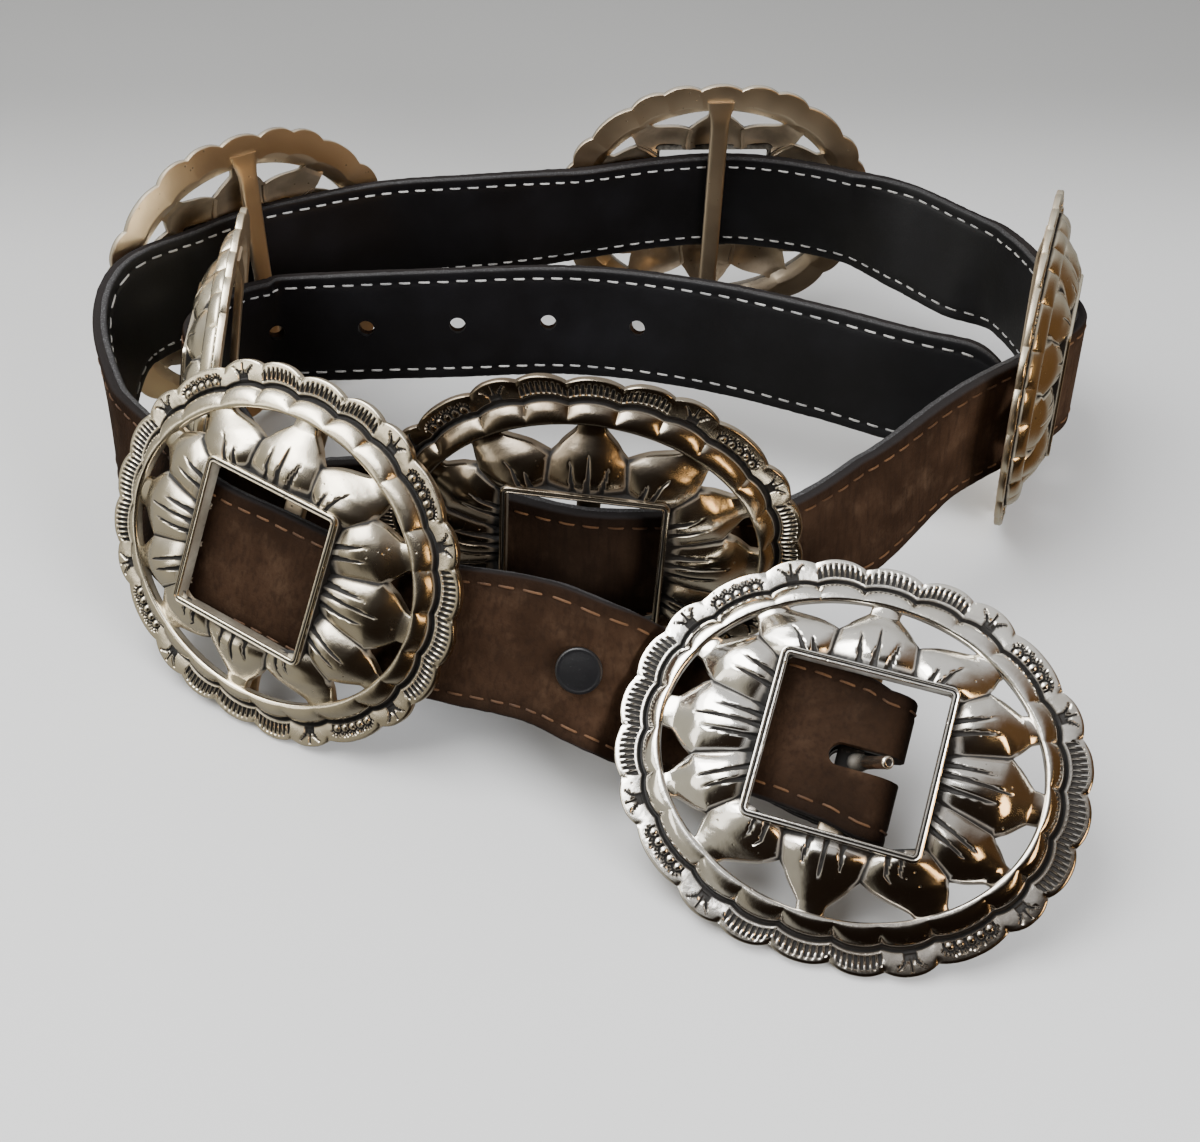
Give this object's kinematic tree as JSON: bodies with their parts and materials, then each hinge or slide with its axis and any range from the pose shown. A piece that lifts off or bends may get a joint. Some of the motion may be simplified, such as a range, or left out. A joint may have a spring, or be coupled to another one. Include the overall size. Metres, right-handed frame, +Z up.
{
  "type": "concho belt",
  "caption": "Leather waist belt threaded through pierced, scalloped oval silver conchos and a matching oval plate buckle, standing on edge as an open loop with its tip inside.",
  "frame": {"origin": "bottom centre of the bounding box, on the surface that the belt stands on", "axes": "+Z up across the strap, -Y towards the buckle at the front of the loop, +X to the viewer's right"},
  "size_m": [0.2724, 0.2812, 0.0861],
  "materials": {
    "brown_leather": "oiled brown nubuck, mottled, darker at the edges",
    "black_leather": "smooth black lining leather",
    "black_snap": "satin black enamel",
    "silver": "antiqued silver plate, polished high spots over blackened recesses"
  },
  "bodies": {
    "root": {"strap_leather": "brown_leather", "strap_lining": "black_leather", "snap_1": "black_snap", "snap_2": "black_snap", "buckle": "silver", "concho_1": "silver", "concho_2": "silver", "concho_3": "silver", "concho_4": "silver", "concho_5": "silver", "concho_6": "silver"}
  },
  "joints": []
}
